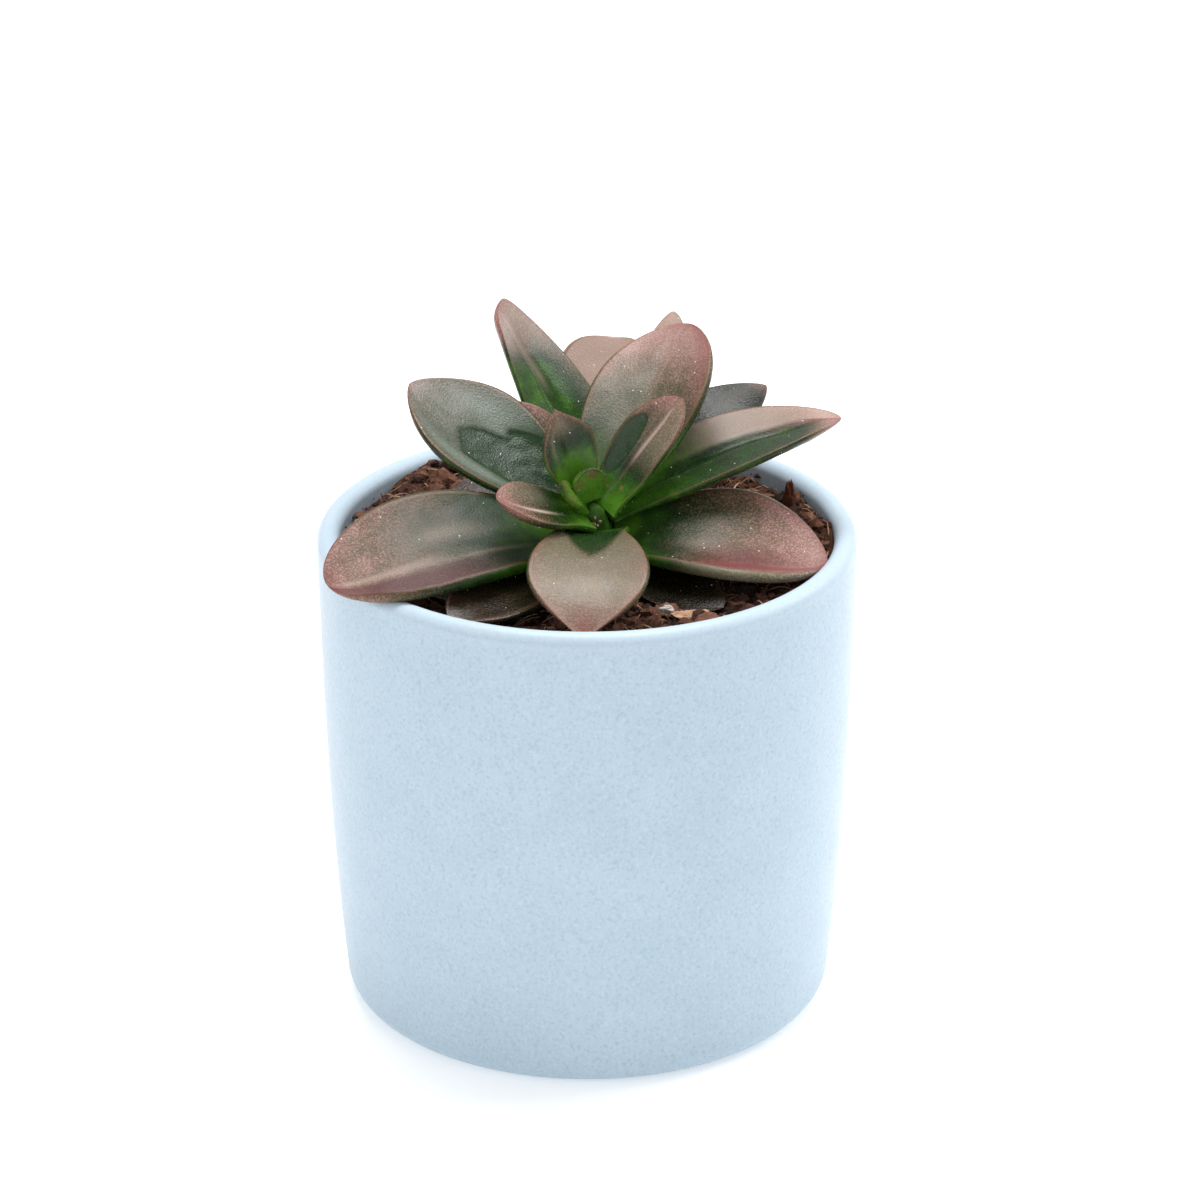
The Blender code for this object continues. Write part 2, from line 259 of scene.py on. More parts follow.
def white_specks(tree, size, share, radius):
    """1 on scattered round specks, 0 elsewhere.

    That share of the cells, each about size across, holds a speck, whose radius is given in cells.
    """
    cells = put(
        tree, "ShaderNodeTexVoronoi", {"Vector": place(tree), "Scale": 1.0 / size}, feature="F1"
    )
    pick = put(tree, "ShaderNodeSeparateColor", {0: cells.outputs["Color"]}).outputs[0]
    chosen = math_node(tree, "GREATER_THAN", pick, 1.0 - share)
    near = math_node(tree, "LESS_THAN", cells.outputs["Distance"], radius)
    return math_node(tree, "MULTIPLY", chosen, near)


# ---- materials -------------------------------------------------------------------------------
def leaf_material():
    """Waxy skin: green at the base, then dark olive, then brown pink, stippled with paler dots."""
    made, tree, shader = new_material("leaf_skin")
    stipple = noise_node(tree, 0.27 * MM, detail=2.0, roughness=0.7)
    patches = noise_node(tree, 2.4 * MM, detail=4.0, roughness=0.6)
    uneven = math_node(tree, "MULTIPLY_ADD", patches, 0.5, -0.25)
    tone = math_node(tree, "ADD", attribute(tree, "blush"), uneven)
    ground = ramp(
        tree,
        tone,
        (
            (0.0, (0.080, 0.215, 0.016)),
            (1.0, (0.258, 0.120, 0.102)),
            (0.18, (0.027, 0.082, 0.010)),
            (0.36, (0.008, 0.026, 0.006)),
            (0.55, (0.030, 0.032, 0.011)),
            (0.78, (0.108, 0.062, 0.039)),
        ),
    )
    dots = ramp(
        tree,
        tone,
        (
            (0.0, (0.120, 0.340, 0.030)),
            (1.0, (0.520, 0.330, 0.280)),
            (0.25, (0.055, 0.120, 0.028)),
            (0.36, (0.075, 0.105, 0.040)),
            (0.50, (0.200, 0.175, 0.095)),
            (0.78, (0.350, 0.240, 0.170)),
        ),
    )
    # Pale waxy bloom, with a painted sheen in it: the bright room reflected in the wax.
    gloss = attribute(tree, "gloss")
    bloom_and_sheen_colour = mix(tree, attribute(tree, "cool"), (0.225, 0.180, 0.120), (0.140, 0.172, 0.135))
    bloom = attribute(tree, "bloom")
    ground = mix(tree, bloom, ground, bloom_and_sheen_colour)
    dots = mix(tree, bloom, dots, (0.40, 0.39, 0.30))
    # Few and faint papillae on the green, crowded ones further out.
    speckled = math_node(tree, "MULTIPLY_ADD", stipple, 5.5, -2.5, clamp=True)
    crowd = math_node(tree, "MULTIPLY_ADD", gloss, -0.75, 1.0)
    amount = math_node(tree, "MULTIPLY", math_node(tree, "ADD", tone, 0.05, clamp=True), crowd)
    colour = mix(tree, math_node(tree, "MULTIPLY", speckled, amount), ground, dots)
    # Painted highlights on ridges, then dark green patches in the bloom, the underside's greener colour
    # with painted shade, rosy stains, the dry margin, scars, painted shade and a darker tone over the whole
    # leaf, and a few white specks over it all.
    colour = mix(tree, attribute(tree, "pale"), colour, (0.58, 0.42, 0.36))
    colour = mix(tree, attribute(tree, "imprint"), colour, (0.010, 0.036, 0.009))
    colour = mix(tree, attribute(tree, "under"), colour, (0.45, 0.60, 0.30), "MULTIPLY")
    dusted = math_node(tree, "MULTIPLY_ADD", stipple, 1.4, 0.1)
    stain = math_node(tree, "MULTIPLY", attribute(tree, "rosy"), dusted)
    colour = mix(tree, stain, colour, (0.230, 0.052, 0.060))
    colour = mix(tree, attribute(tree, "edge"), colour, (0.17, 0.085, 0.040))
    colour = mix(tree, attribute(tree, "scar"), colour, (0.26, 0.15, 0.06))
    colour = mix(tree, attribute(tree, "shade"), colour, (0.12, 0.11, 0.10), "MULTIPLY")
    specks = white_specks(tree, 1.0 * MM, 0.18, 0.09)
    colour = mix(tree, specks, colour, (0.80, 0.80, 0.74))
    feed(tree, shader.inputs["Base Color"], colour)
    rough = math_node(tree, "MULTIPLY_ADD", speckled, 0.14, 0.34)
    rough = math_node(tree, "MULTIPLY_ADD", gloss, -0.20, rough)
    feed(tree, shader.inputs["Roughness"], rough)
    shader.inputs["Specular IOR Level"].default_value = 0.29
    shader.inputs["Subsurface Weight"].default_value = 0.06
    shader.inputs["Subsurface Radius"].default_value = (0.6, 0.9, 0.25)
    shader.inputs["Subsurface Scale"].default_value = 0.9 * MM
    fine = bump(tree, stipple, 0.07 * MM, 0.8)
    waves = bump(tree, noise_node(tree, 3.2 * MM, 1.5), 0.22 * MM, 0.35, fine)
    feed(tree, shader.inputs["Normal"], waves)
    return made


def glaze_material():
    """Pale blue satin glaze with a fine fleck, paler over the lip, where the glaze thins and as a painted
    highlight.
    """
    made, tree, shader = new_material("glaze")
    fleck = noise_node(tree, 0.45 * MM, detail=2.0, roughness=0.7)
    cloud = noise_node(tree, 9.0 * MM, detail=3.0)
    colour = mix(tree, ranged(tree, cloud, 0.3, 0.7), (0.430, 0.545, 0.640), (0.450, 0.565, 0.658))
    colour = mix(tree, ranged(tree, fleck, 0.52, 0.68, 0.0, 0.60), colour, (0.32, 0.44, 0.54))
    colour = mix(tree, ranged(tree, fleck, 0.30, 0.45, 0.45, 0.0), colour, (0.56, 0.66, 0.73))
    specks = white_specks(tree, 5.0 * MM, 0.25, 0.022)
    colour = mix(tree, math_node(tree, "MULTIPLY", specks, 0.6), colour, (0.20, 0.30, 0.40))
    # Paler over the lip, for thinner glaze and as a painted highlight.
    colour = mix(tree, attribute(tree, "thin_glaze_and_highlight"), colour, (0.56, 0.67, 0.76))
    feed(tree, shader.inputs["Base Color"], colour)
    feed(tree, shader.inputs["Roughness"], math_node(tree, "MULTIPLY_ADD", fleck, 0.14, 0.30))
    shader.inputs["Specular IOR Level"].default_value = 0.20
    shader.inputs["Coat Weight"].default_value = 0.04
    shader.inputs["Coat Roughness"].default_value = 0.16
    skin = bump(tree, noise_node(tree, 0.9 * MM, 3.0), 0.05 * MM, 0.35)
    waves = bump(tree, noise_node(tree, 7.0 * MM, 1.0), 0.25 * MM, 0.25, skin)
    feed(tree, shader.inputs["Normal"], waves)
    return made


def earth_material(name, dark, mid, light, grain=0.5 * MM):
    """Crumbly matter whose pieces differ in tone."""
    made, tree, shader = new_material(name)
    tone = attribute(tree, "tone")
    spread = noise_node(tree, grain, detail=5.0, roughness=0.75)
    share = math_node(tree, "MULTIPLY_ADD", spread, 0.8, math_node(tree, "ADD", tone, -0.4), clamp=True)
    colour = ramp(tree, share, ((0.0, dark), (1.0, light), (0.55, mid)))
    feed(tree, shader.inputs["Base Color"], colour)
    shader.inputs["Roughness"].default_value = 0.92
    shader.inputs["Specular IOR Level"].default_value = 0.25
    rough = bump(tree, noise_node(tree, 0.35 * MM, 4.0, 0.7), 0.18 * MM, 0.9)
    feed(tree, shader.inputs["Normal"], rough)
    return made


def floor_material():
    """A plain pale floor that gives off a little light of its own, so that shadows on it stay faint."""
    made, tree, shader = new_material("studio_floor")
    grain = noise_node(tree, 0.05)
    feed(tree, shader.inputs["Base Color"], mix(tree, grain, (0.93, 0.93, 0.93), (0.95, 0.95, 0.95)))
    shader.inputs["Roughness"].default_value = 0.6
    shader.inputs["Specular IOR Level"].default_value = 0.2
    shader.inputs["Emission Color"].default_value = (1.0, 1.0, 1.0, 1.0)
    shader.inputs["Emission Strength"].default_value = FLOOR_GLOW
    return made


# ---- meshes ----------------------------------------------------------------------------------
def mesh_object(name, points, faces, finish, attributes=None, smooth=True):
    """An object of that mesh, with float attributes at its points."""
    mesh = bpy.data.meshes.new(name)
    mesh.from_pydata([tuple(p) for p in points], [], faces)
    mesh.validate()
    for key, values in (attributes or {}).items():
        layer = mesh.attributes.new(key, "FLOAT", "POINT")
        layer.data.foreach_set("value", np.asarray(values, np.float32))
    if smooth:
        mesh.shade_smooth()
    mesh.materials.append(finish)
    made = bpy.data.objects.new(name, mesh)
    bpy.context.scene.collection.objects.link(made)
    return made


def grid_faces(rings, columns):
    """Quads between closed rings of points laid one after another."""
    faces = []
    for i in range(rings - 1):
        here, ahead = i * columns, (i + 1) * columns
        for j in range(columns):
            k = (j + 1) % columns
            faces.append((here + j, here + k, ahead + k, ahead + j))
    return faces


def finish_piece(piece, slot, *nodes):
    """The piece rides on the object's one body and may stand for solids."""
    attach(piece, "root")
    if nodes:
        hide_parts(*nodes)


def step(value, low, high):
    """0 under low, 1 over high, soft between. low may be the greater, which turns it round."""
    share = np.clip((value - low) / (high - low), 0.0, 1.0)
    return share * share * (3 - 2 * share)


# ---- leaves ----------------------------------------------------------------------------------
def stem_radius(drop):
    """The stem's radius that far under the crown's point."""
    return STEM_TIP_RADIUS + (STEM_RADIUS - STEM_TIP_RADIUS) * min(1.0, drop / STEM_TAPER)


def leaf_frames(leaf, places):
    """Points along a leaf's midline, and the unit vectors along, across and out of its upper face."""
    turn = np.radians(leaf.azimuth + leaf.sweep * places)
    rise = np.radians(leaf.lift + leaf.curl * places)
    radial = np.stack([np.cos(turn), np.sin(turn), 0 * turn], axis=1) @ LEAN.T
    along = radial * np.cos(rise)[:, None] + STEM_AXIS * np.sin(rise)[:, None]
    across = np.cross(STEM_AXIS, radial)
    normal = np.cross(along, across)
    roll = np.radians(leaf.twist * places)[:, None]
    across = across * np.cos(roll) + normal * np.sin(roll)
    normal = np.cross(along, across)
    drop = leaf.root * UNIT
    start = stem_radius(drop)
    length = leaf.reach * UNIT - start
    steps = np.diff(places, prepend=0.0)[:, None] * length * along
    first = CROWN - drop * STEM_AXIS + start * radial[0]
    return first + np.cumsum(steps, axis=0), along, across, normal


def leaf_section(look):
    """Places round a leaf's section, from 0 on its midline to 1 at its widest.

    With each goes its depth, of the thickness, and whether it is on the upper face.
    """
    top = np.linspace(-look.shoulder, look.shoulder, TOP_POINTS)
    turn = np.linspace(0, math.pi / 2, TURN_POINTS + 1)[1:]
    side = look.shoulder + (1 - look.shoulder) * np.sin(turn)
    side_down = look.side * (1 - np.cos(turn))
    under = np.linspace(0, math.pi / 2, UNDER_POINTS + 1)[1:]
    keel = np.cos(under)
    keel_down = look.side + (1 - look.side) * np.sin(under) ** 0.95
    half = np.concatenate([side, keel])
    half_down = np.concatenate([side_down, keel_down])
    s = np.concatenate([top, half, -half[-2::-1]])
    down = np.concatenate([0 * top, half_down, half_down[-2::-1]])
    upper = np.concatenate([np.ones(TOP_POINTS), np.zeros(2 * len(half) - 1)])
    return s, down, upper


def make_leaf(leaf, finish):
    """A leaf's skin: its solid's shape with the changes in its Look, an uneven surface and its colours."""
    places = (1 - np.cos(np.linspace(0, math.pi, LEAF_RINGS + 1)[:-1])) / 2
    places[-1] = 0.9996
    spine, along, across, normal = leaf_frames(leaf, places)
    look = LOOKS[leaf.name]
    s, down, upper = leaf_section(look)
    t = places[:, None]
    swell = np.sin(math.pi * t ** (math.log(0.5) / math.log(LEAF_WIDEST))) ** leaf.point
    swell = swell ** (1 + look.taper * step(t, 0.5, 0.95))
    wide = np.hypot(swell, look.base * (1 - t) ** 1.5)
    half = leaf.width * UNIT / 2 * wide
    thick = leaf.width * UNIT * leaf.plump * (1 - 0.45 * t**3) * np.minimum(1.0, wide * 1.4)
    bowed = look.bow[0] * np.sin(math.pi * places) + look.bow[1] * places**2
    spine = spine + normal * (bowed * UNIT)[:, None]
    cup = LEAF_CUP * half * (1 - 0.5 * t)
    dome = 0.16 * thick * (1 - s**2)
    channel = look.crease * half * np.exp(-((s / 0.16) ** 2)) * step(t, 0.0, 0.2) * step(t, 1.0, 0.75)
    height = cup * s**2 + np.where(upper > 0, dome - channel, -down * thick)
    trim = 1 + (np.where(s < 0, look.trim[0], look.trim[1]) - 1) * step(t, 0.15, 0.6)
    points = (
        spine[:, None, :]
        + across[:, None, :] * (half * s * trim)[:, :, None]
        + normal[:, None, :] * height[:, :, None]
    )
    t_all = np.broadcast_to(t, half.shape[:1] + s.shape)
    s_all = np.broadcast_to(s, t_all.shape)
    up = np.broadcast_to(upper, t_all.shape)
    fields = leaf_looks(leaf, t_all, s_all, up)
    flat = points.reshape(-1, 3)
    seed = Vector((leaf.azimuth * 0.37, leaf.root * 1.3, 0))
    # Slow unevenness all over, and fine puckers where the dark green patches press the skin in a little.
    ripple = np.array([noise.noise(Vector(p) / (4.5 * MM) + seed) for p in flat])
    pucker = np.array([noise.noise(Vector(p) / (1.3 * MM) + seed) for p in flat])
    pressed = np.broadcast_to(fields["imprint"], t_all.shape).reshape(-1)
    out = np.repeat(normal, len(s), axis=0)
    lift = ripple * np.where(up.reshape(-1) > 0, 0.16, 0.07) + (pucker * 0.09 - 0.14) * pressed
    flat = flat + out * (lift * MM)[:, None]
    columns = len(s)
    faces = grid_faces(LEAF_RINGS, columns)
    faces.append(tuple(range(columns))[::-1])
    tip = len(flat)
    flat = np.vstack([flat, flat[-columns:].mean(0) + along[-1] * 0.05 * MM])
    faces += [(tip - columns + j, tip - columns + (j + 1) % columns, tip) for j in range(columns)]
    for key, values in fields.items():
        values = np.broadcast_to(values, t_all.shape).reshape(-1)
        fields[key] = np.append(values, values[-columns:].mean())
    made = mesh_object("skin_" + leaf.name, flat, faces, finish, fields)
    finish_piece(made, "leaf_skin", leaf.name)
    return made


def line(value, at, reach):
    """1 where a value is at, fading to 0 over that reach on both sides."""
    return np.exp(-(((value - at) / reach) ** 2))


def spot(t, s, at, reach):
    """1 at a place on a leaf, fading to 0 over that reach along it and across it."""
    return np.exp(-(((t - at[0]) / reach[0]) ** 2) - ((s - at[1]) / reach[1]) ** 2)


def leaf_looks(leaf, t, s, up):
    """The float attributes that colour a leaf, at each place on it.

    t runs from 0 at its base to 1 at its tip, and s from -1 at its right margin seen from there to 1 at its
    left one. up is 1 on the upper face and 0 under it.
    """
    look = LOOKS[leaf.name]
    rim = np.abs(s)
    none = 0.0 * t * rim
    turned = step(t, look.green - 0.38, look.green + 0.12)
    blush = 0.48 * turned + 0.52 * step(t, look.green - 0.05, look.pink)
    blush = blush + 0.14 * step(rim, 0.55, 1.0) * step(t, 0.15, 0.6) * up
    blush = blush - 0.22 * (1 - up) * step(t, 0.95, 0.5)
    # Among these are the waxy bloom with a painted sheen in it, painted highlights, the greener underside
    # with painted shade on it, and painted shade over the whole leaf.
    fields = {
        "blush": blush,
        "under": 0.6 * (1 - up) * step(t, 1.0, 0.6),
        "edge": line(rim, look.shoulder, 0.025) * step(t, 0.05, 0.25) * 0.75,
        "bloom": none,
        "pale": none,
        "imprint": none,
        "rosy": 0.4 * step(t, 0.93, 1.0) + none,
        "scar": none,
        "shade": look.shade + none,
        "gloss": look.gloss + none,
        "cool": look.cool + none,
    }
    paint = PAINT.get(leaf.name)
    if paint:
        paint(fields, t, s, up)
    return fields


# What single leaves show of their own. f holds a leaf's fields, as leaf_looks sets them out.
def paint_left(f, t, s, up):
    """A painted highlight on a ridge, a rosy band in painted shade beside it, painted shade mid-leaf, bloom
    with painted sheen and two faint dark patches.
    """
    ridge = 0.16 + 0.30 * t
    f["pale"] = up * 0.40 * line(s, ridge, 0.09) * step(t, 0.50, 0.75) * step(t, 1.0, 0.92)
    f["pale"] = f["pale"] + up * 0.12 * step(t, 0.80, 0.98)
    f["bloom"] = up * 0.50 * spot(t, s, (0.52, -0.15), (0.14, 0.16))
    f["bloom"] = f["bloom"] + up * 0.55 * line(s, 0.42, 0.05) * spot(t, s, (0.40, 0.42), (0.20, 9.0))
    f["imprint"] = 0.6 * up * spot(t, s, (0.30, -0.75), (0.16, 0.45))
    f["imprint"] = f["imprint"] + 0.35 * up * spot(t, s, (0.42, 0.08), (0.18, 0.10))
    low = step(s, ridge + 0.08, ridge + 0.24) * step(s, 0.99, 0.90)
    f["rosy"] = f["rosy"] + 0.75 * up * low * step(t, 0.35, 0.6)
    # Painted shade on the band where the near margin turns away, and over the middle of the leaf.
    f["shade"] = f["shade"] + 0.55 * up * low * step(t, 0.2, 0.5) * (1 - 0.6 * step(t, 0.8, 1.0))
    f["shade"] = f["shade"] + 0.30 * up * spot(t, s, (0.48, -0.2), (0.22, 0.6)) * (1 - f["bloom"])


def paint_right(f, t, s, up):
    """Rosy along one margin and over a patch in painted shade near it, bloom with painted sheen on top, a
    painted reflection over the underside and a painted highlight at its tip.
    """
    f["bloom"] = up * 0.45 * spot(t, s, (0.44, -0.30), (0.12, 0.14))
    f["rosy"] = f["rosy"] + 0.85 * up * line(s, -0.78, 0.07) * step(t, 0.30, 0.55)
    low = spot(t, s, (0.62, -0.55), (0.22, 0.30))
    f["rosy"] = f["rosy"] + 0.70 * up * low
    f["shade"] = f["shade"] + 0.22 * up * low
    f["rosy"] = f["rosy"] + 0.35 * up * step(s, 0.5, 0.9) * step(t, 0.5, 0.8)
    f["pale"] = up * 0.18 * spot(t, s, (0.95, 0.0), (0.10, 0.6))
    # A painted reflection over the underside.
    f["bloom"] = f["bloom"] + 0.75 * (1 - up) * step(t, 0.2, 0.5)
    f["under"] = f["under"] * 0.3


def paint_front(f, t, s, up):
    """Dark green up to a notch, bloom with painted sheen beyond it, a rosy tip and margins and two small
    scars.
    """
    notch = 0.46 - 0.40 * np.abs(s - 0.02) ** 1.2
    f["bloom"] = up * 0.55 * step(t, notch - 0.05, notch + 0.04) * (1 - 0.55 * step(t, 0.6, 1.0))
    f["imprint"] = up * 0.75 * step(t, notch + 0.02, notch - 0.10) * step(t, 0.0, 0.12)
    stains = 0.55 * spot(t, s, (0.92, 0.0), (0.09, 0.5)) + 0.22 * step(np.abs(s), 0.7, 1.0)
    f["rosy"] = f["rosy"] + up * stains
    scars = spot(t, s, (0.66, -0.5), (0.010, 0.03)) + spot(t, s, (0.68, 0.1), (0.016, 0.05))
    f["scar"] = 0.8 * up * scars


def paint_left_upper(f, t, s, up):
    """A large dark green patch with a lobed end, and bloom with painted sheen round it."""
    end = 0.68 - 0.30 * np.abs(s - 0.2) ** 1.3 - 0.08 * line(s, -0.25, 0.12)
    mark = up * step(t, end + 0.010, end - 0.010) * step(s, 0.60, 0.55) * step(s, -0.97, -0.9)
    f["imprint"] = 0.95 * mark
    f["blush"] = np.maximum(f["blush"], 0.30)
    band = spot(t, s, (0.50, 0.75), (0.34, 0.09)) * 0.85 + 0.40 * spot(t, s, (0.62, -0.5), (0.18, 0.25))
    f["bloom"] = up * (1 - mark) * (band + 0.42 * step(t, 0.25, 0.5))


def paint_back(f, t, s, up):
    """Bloom with painted sheen in its middle, painted highlights on its midline and tip, and rosy along one
    margin and towards its tip.
    """
    f["bloom"] = up * (0.38 * spot(t, s, (0.42, 0.25), (0.22, 0.40)) + 0.10)
    midline = 0.14 * np.exp(-((s + 0.05) ** 2) / 0.003) * step(t, 0.3, 0.6)
    f["pale"] = up * (0.20 * step(t, 0.60, 0.9) + midline)
    f["rosy"] = f["rosy"] + 0.50 * up * step(s, -0.40, -0.88) * step(t, 0.45, 0.8)
    f["rosy"] = f["rosy"] + 0.15 * up * step(t, 0.7, 0.95)
    f["imprint"] = 0.30 * up * spot(t, s, (0.70, 0.15), (0.10, 0.22))


def paint_back_left(f, t, s, up):
    """Green up to a slanting border, with bloom and painted sheen beyond it and down one margin, painted
    highlights on its tip and near its midline, and a scar.
    """
    border = 0.79 + 0.09 * s
    inside = np.where(up > 0, step(s, -0.95, -0.6 + 0.3 * t), 1.0)
    dark = step(t, border + 0.09, border - 0.06) * inside
    f["blush"] = f["blush"] * (1 - dark) + 0.17 * dark
    f["bloom"] = 0.50 * up * (1 - dark) * step(t, 0.12, 0.35)
    f["pale"] = 0.30 * step(t, 0.74, 0.95) * up + 0.35 * up * line(s, -0.10, 0.06) * step(t, 0.6, 0.7)
    f["edge"] = f["edge"] * 0.4
    f["under"] = f["under"] * 0.3
    f["scar"] = 0.9 * up * spot(t, s, (0.60, 0.62), (0.008, 0.12))


def paint_right_far(f, t, s, up):
    """A painted highlight on its left half and its tip, dark green on the rest for its green underside with
    painted shade, and a rosy patch near the tip.
    """
    near = up * step(s, 0.30, 0.12)
    f["pale"] = 0.48 * up * (1 - near) * step(t, 0.25, 0.6) + 0.30 * step(t, 0.85, 1.0)
    dark = np.maximum(near, 1 - up) * step(t, 0.96, 0.80)
    f["blush"] = f["blush"] * (1 - dark) + (0.12 + 0.22 * step(t, 0.2, 0.5)) * dark
    f["under"] = f["under"] * 0.3
    f["rosy"] = f["rosy"] + 0.7 * up * spot(t, s, (0.90, 0.16), (0.16, 0.08))


def paint_right_upper(f, t, s, up):
    """Painted shade from the leaves over it, a little less at its tip, greener than its neighbours, with
    bloom, painted sheen and a painted highlight near the tip.
    """
    f["bloom"] = up * 0.30 * spot(t, s, (0.82, 0.3), (0.12, 0.35))
    f["shade"] = 0.22 + 0.60 * step(t, 1.18, 0.86)
    f["blush"] = f["blush"] * (1 - 0.45 * step(t, 1.02, 0.88))
    f["pale"] = 0.14 * step(t, 0.90, 0.98)


def paint_inner_right(f, t, s, up):
    """A dark green oval on one side, a painted highlight on the crest of its midline, bloom with painted
    sheen and two scars.
    """
    oval = step(((t - 0.48) / 0.27) ** 2 + ((s - 0.62) / 0.38) ** 2, 1.04, 0.90)
    f["imprint"] = up * 0.92 * oval
    crest = line(s, 0.02, 0.055)
    f["pale"] = up * 0.75 * crest * step(t, 0.34, 0.5) * step(t, 0.95, 0.8)
    f["rosy"] = f["rosy"] + up * 0.35 * crest * step(t, 0.12, 0.3) * step(t, 0.55, 0.4)
    f["bloom"] = up * (1 - oval) * 0.45 * step(t, 0.30, 0.6) * step(s, 0.6, -0.2)
    scars = spot(t, s, (0.20, -0.35), (0.016, 0.09)) + spot(t, s, (0.15, 0.3), (0.012, 0.06))
    f["scar"] = 0.9 * up * scars


def paint_inner_left(f, t, s, up):
    """A painted highlight beside its midline, bloom with painted sheen across from it and a rosy tip."""
    f["pale"] = up * 0.90 * spot(t, s, (0.60, 0.30), (0.26, 0.07))
    f["bloom"] = up * 0.30 * step(s, 0.2, -0.4) * step(t, 0.3, 0.5)
    f["rosy"] = f["rosy"] + 0.25 * step(t, 0.75, 0.97)


def paint_inner_back(f, t, s, up):
    """Bloom with painted sheen near its tip and down one side, and pinker margins."""
    patches = 0.6 * spot(t, s, (0.84, 0.0), (0.10, 0.45)) + 0.5 * spot(t, s, (0.70, 0.55), (0.16, 0.08))
    f["bloom"] = up * patches
    f["blush"] = f["blush"] + up * 0.12 * step(np.abs(s), 0.7, 0.95) * step(t, 0.3, 0.6)


def paint_bud(f, t, s, up):
    """Green, with two rosy blotches."""
    blotches = spot(t, s, (0.85, -0.3), (0.14, 0.35)), spot(t, s, (0.65, 0.55), (0.10, 0.25))
    f["rosy"] = 0.8 * np.maximum(*blotches)
    f["under"] = f["under"] * 0.2
    f["blush"] = f["blush"] * 0.6


def paint_far(f, t, s, up):
    """The soft leaves right behind the plant, paled with painted highlight and with bloom and painted
    sheen.
    """
    f["pale"] = 0.66 * step(t, 0.2, 0.5) * (0.4 + 0.6 * up)
    f["bloom"] = 0.60 * up
    f["rosy"] = f["rosy"] * 0.2


def paint_low(f, t, s, up):
    """A leaf in painted shade, less so in a line just inside its margin, with a fainter dry margin."""
    f["edge"] = f["edge"] * 0.3
    f["shade"] = f["shade"] * (1 - 0.75 * up * line(np.abs(s), 0.86, 0.05) * step(t, 0.2, 0.5))


PAINT = {
    "leaf_left": paint_left,
    "leaf_right": paint_right,
    "leaf_front": paint_front,
    "leaf_left_upper": paint_left_upper,
    "leaf_back": paint_back,
    "leaf_back_left": paint_back_left,
    "leaf_right_far": paint_right_far,
    "leaf_right_upper": paint_right_upper,
    "leaf_inner_right": paint_inner_right,
    "leaf_inner_left": paint_inner_left,
    "leaf_inner_back": paint_inner_back,
    "leaf_bud_back": paint_bud,
    "leaf_bud_left": paint_bud,
    "leaf_back_low": paint_far,
    "leaf_back_right": paint_far,
    "leaf_front_low_left": paint_low,
    "leaf_left_low": paint_low,
}


# ---- stem ------------------------------------------------------------------------------------
def make_stem(finish):
    """The stem's skin, rounded at its tip and faintly ribbed."""
    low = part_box("stem")[0][2]
    segments, rings = 64, 90
    depth = (CROWN[2] - low) / STEM_AXIS[2]
    side = np.cross(STEM_AXIS, (1.0, 0.0, 0.0))
    side = side / np.linalg.norm(side)
    front = np.cross(side, STEM_AXIS)
    points, blush = [], []
    for i in range(rings):
        drop = STEM_TOP * UNIT + (depth - STEM_TOP * UNIT) * (i / (rings - 1)) ** 1.6
        rounding = min(1.0, 0.25 + 0.75 * math.sqrt(max(0.0, drop / UNIT - STEM_TOP)))
        radius = stem_radius(drop) * rounding
        for k in range(segments):
            turn = math.tau * k / segments
            ribs = 0.07 * math.sin(5 * turn + 900 * drop) * float(step(drop, 0.0, 2 * UNIT))
            out = radius * (0.95 + ribs)
            radial = front * math.cos(turn) + side * math.sin(turn)
            points.append(CROWN - STEM_AXIS * drop + radial * out)
            blush.append(0.10 + 0.5 * float(step(drop, 4 * UNIT, 12 * UNIT)))
    faces = grid_faces(rings, segments)
    faces.append(tuple(range(segments))[::-1])
    faces.append(tuple(range((rings - 1) * segments, rings * segments)))
    made = mesh_object("stem_skin", points, faces, finish, {"blush": blush})
    finish_piece(made, "stem_skin", "stem")


# ---- pot -------------------------------------------------------------------------------------
def pot_outside(z):
    """The pot's outer radius at a height, short of the rounding at its foot and lip."""
    down = 1 - z / POT_HEIGHT
    return POT_RADIUS - POT_DRAFT * down - POT_TUCK * down**3


